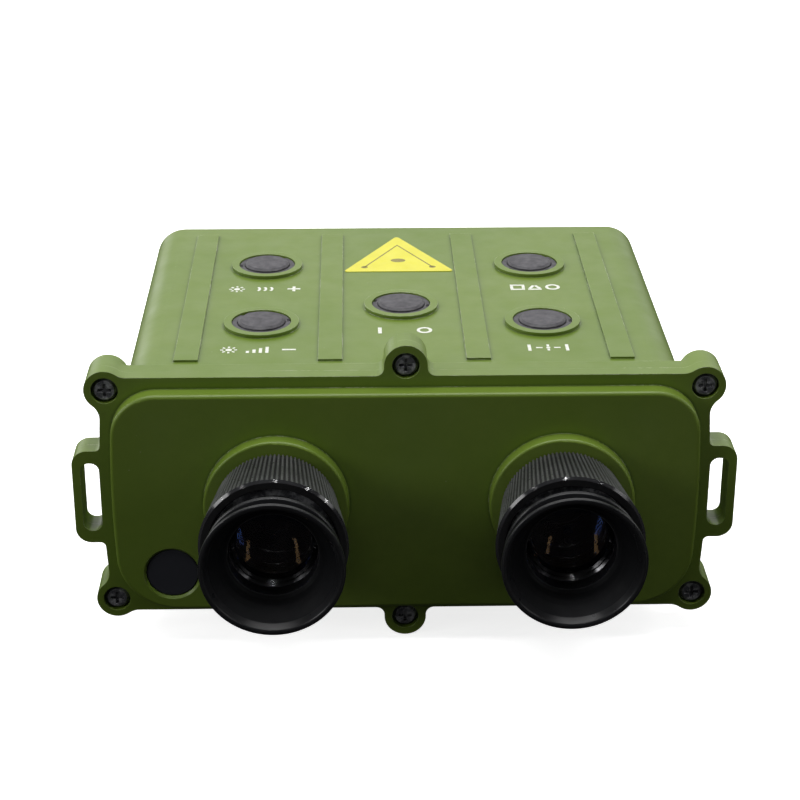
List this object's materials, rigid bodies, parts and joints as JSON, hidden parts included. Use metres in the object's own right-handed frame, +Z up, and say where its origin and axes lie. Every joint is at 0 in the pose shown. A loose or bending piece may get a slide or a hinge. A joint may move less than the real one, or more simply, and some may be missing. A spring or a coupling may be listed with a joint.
{
  "type": "laser rangefinder",
  "caption": "Handheld binocular laser rangefinder: cast green housing, twin eyepieces with dioptre rings, top keys, strap lugs, tripod bush.",
  "frame": {"origin": "centre of the rear cover's flange face, midway between its four corner ears", "axes": "+X to the user's right, +Y forwards towards the target, +Z up"},
  "size_m": [0.1524, 0.1473, 0.0742],
  "materials": {
    "green_paint": "semi-gloss olive green paint on cast aluminium",
    "black_anodised": "black anodised aluminium",
    "black_steel": "black oxide steel",
    "brass": "turned brass",
    "black_rubber": "matt black rubber",
    "key_rubber": "dark grey silicone rubber",
    "optic_glass": "coated optical glass",
    "sticker": "yellow vinyl film",
    "board": "green circuit board",
    "metal_can": "tinned steel",
    "inner_aluminium": "bead-blasted aluminium",
    "wrap": "plain printed cell wrap",
    "black_plastic": "moulded black plastic"
  },
  "bodies": {
    "housing": {"battery_cell": "wrap", "battery_contact": "brass", "battery_tube": "inner_aluminium", "board_rail": "black_plastic", "board_screws": "metal_can", "cover_screws": "black_steel", "cover_seal": "black_rubber", "display_module": "black_plastic", "foot_screws": "black_steel", "key_board": "board", "key_retaining_rings": "black_anodised", "laser_diode": "brass", "left_eyepiece_sleeve": "black_anodised", "left_objective_barrel": "black_anodised", "left_objective_lens": "optic_glass", "left_objective_ring": "black_anodised", "left_prism": "optic_glass", "left_prism_holder": "black_anodised", "main_board": "board", "main_housing": "green_paint", "port_connector": "black_plastic", "rear_cover": "green_paint", "receiver_module": "metal_can", "right_eyepiece_sleeve": "black_anodised", "right_objective_barrel": "black_anodised", "right_objective_lens": "optic_glass", "right_objective_ring": "black_anodised", "right_prism": "optic_glass", "right_prism_holder": "black_anodised", "ring_keepers": "black_steel", "tact_switches": "metal_can", "transmitter_lens": "optic_glass", "transmitter_tube": "black_anodised", "triangle_sticker": "sticker", "tripod_bush": "metal_can", "tripod_foot": "green_paint"},
    "strobe_key_body": {"strobe_key": "key_rubber"},
    "light_key_body": {"light_key": "key_rubber"},
    "power_key_body": {"power_key": "key_rubber"},
    "mode_key_body": {"mode_key": "key_rubber"},
    "measure_key_body": {"measure_key": "key_rubber"},
    "left_ring_body": {"left_diopter_ring": "black_anodised"},
    "left_barrel_body": {"left_lens_barrel": "black_anodised", "left_eye_lens": "optic_glass", "left_field_lens": "optic_glass", "left_lens_ring": "black_anodised", "left_guide_pin": "metal_can", "left_barrel_seal": "black_rubber", "left_eyecup": "black_rubber"},
    "right_ring_body": {"right_diopter_ring": "black_anodised"},
    "right_barrel_body": {"right_lens_barrel": "black_anodised", "right_eye_lens": "optic_glass", "right_field_lens": "optic_glass", "right_lens_ring": "black_anodised", "right_guide_pin": "metal_can", "right_barrel_seal": "black_rubber", "right_eyecup": "black_rubber"},
    "port_plug_body": {"port_plug": "black_rubber"},
    "cap_seal_body": {"battery_cap_seal": "black_rubber"},
    "battery_cap_body": {"battery_cap": "black_anodised"}
  },
  "joints": [
    {"name": "strobe_key_press", "type": "slide", "parent": "housing", "child": "strobe_key_body", "axis": [0, 0, -1], "range_m": [0, 0.0008], "stiffness_N_per_m": 1500, "springref_m": -0.0002},
    {"name": "light_key_press", "type": "slide", "parent": "housing", "child": "light_key_body", "axis": [0, 0, -1], "range_m": [0, 0.0008], "stiffness_N_per_m": 1500, "springref_m": -0.0002},
    {"name": "power_key_press", "type": "slide", "parent": "housing", "child": "power_key_body", "axis": [0, 0, -1], "range_m": [0, 0.0008], "stiffness_N_per_m": 1500, "springref_m": -0.0002},
    {"name": "mode_key_press", "type": "slide", "parent": "housing", "child": "mode_key_body", "axis": [0, 0, -1], "range_m": [0, 0.0008], "stiffness_N_per_m": 1500, "springref_m": -0.0002},
    {"name": "measure_key_press", "type": "slide", "parent": "housing", "child": "measure_key_body", "axis": [0, 0, -1], "range_m": [0, 0.0008], "stiffness_N_per_m": 1500, "springref_m": -0.0002},
    {"name": "left_diopter_turn", "type": "hinge", "parent": "housing", "child": "left_ring_body", "pos_m": [-0.0295, 0, 0.00045], "axis": [0, -1, 0], "range_deg": [-177.23, 44.31]},
    {"name": "left_barrel_slide", "type": "slide", "parent": "housing", "child": "left_barrel_body", "axis": [0, -1, 0], "range_m": [-0.00321, 0.00081]},
    {"name": "right_diopter_turn", "type": "hinge", "parent": "housing", "child": "right_ring_body", "pos_m": [0.0355, 0, 0.00045], "axis": [0, -1, 0], "range_deg": [-110.77, 110.77]},
    {"name": "right_barrel_slide", "type": "slide", "parent": "housing", "child": "right_barrel_body", "axis": [0, -1, 0], "range_m": [-0.00201, 0.00201]},
    {"name": "port_plug_pull", "type": "slide", "parent": "housing", "child": "port_plug_body", "axis": [0, -1, 0], "range_m": [0, 0.012]},
    {"name": "battery_cap_out", "type": "slide", "parent": "housing", "child": "cap_seal_body", "axis": [0, 1, 0], "range_m": [0, 0.0046]},
    {"name": "battery_cap_turn", "type": "hinge", "parent": "cap_seal_body", "child": "battery_cap_body", "pos_m": [0.003, 0, -0.012], "axis": [0, 1, 0], "range_deg": [0, 1080]}
  ],
  "couplings": [
    {"joint": "left_barrel_slide", "follows": "left_diopter_turn", "m_per_rad": 0.0010345},
    {"joint": "right_barrel_slide", "follows": "right_diopter_turn", "m_per_rad": 0.0010345},
    {"joint": "battery_cap_out", "follows": "battery_cap_turn", "m_per_rad": 0.00023873}
  ]
}
